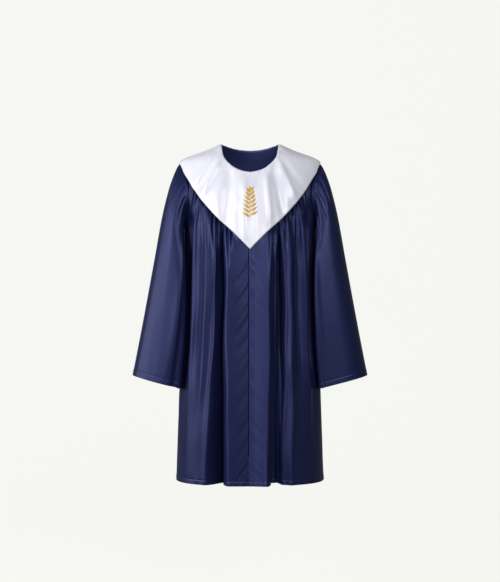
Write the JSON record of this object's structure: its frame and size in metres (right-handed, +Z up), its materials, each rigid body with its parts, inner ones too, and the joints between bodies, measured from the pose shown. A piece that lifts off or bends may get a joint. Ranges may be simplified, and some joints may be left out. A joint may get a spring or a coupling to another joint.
{
  "type": "child's graduation gown",
  "caption": "Child's knee-length graduation gown in navy satin with a white satin V collar, gathered body, bell sleeves and a zipped front, filled out as if worn.",
  "frame": {"origin": "middle of the neck opening, level with the points where the neck meets the shoulders", "axes": "+Z up along the gown, -Y the way the wearer faces, +X the wearer's left"},
  "size_m": [0.4682, 0.2094, 0.67],
  "materials": {
    "navy_satin": "navy polyester satin, soft sheen",
    "white_satin": "white polyester satin, soft sheen",
    "zip_navy": "woven tape and nylon coil, matt"
  },
  "bodies": {
    "root": {"front_right": "navy_satin", "front_left": "navy_satin", "back": "navy_satin", "front_yoke_right": "navy_satin", "front_yoke_left": "navy_satin", "back_yoke": "navy_satin", "collar": "white_satin", "sleeve_right": "navy_satin", "sleeve_left": "navy_satin", "zip_tape": "zip_navy", "zip_chain": "zip_navy"}
  },
  "joints": []
}
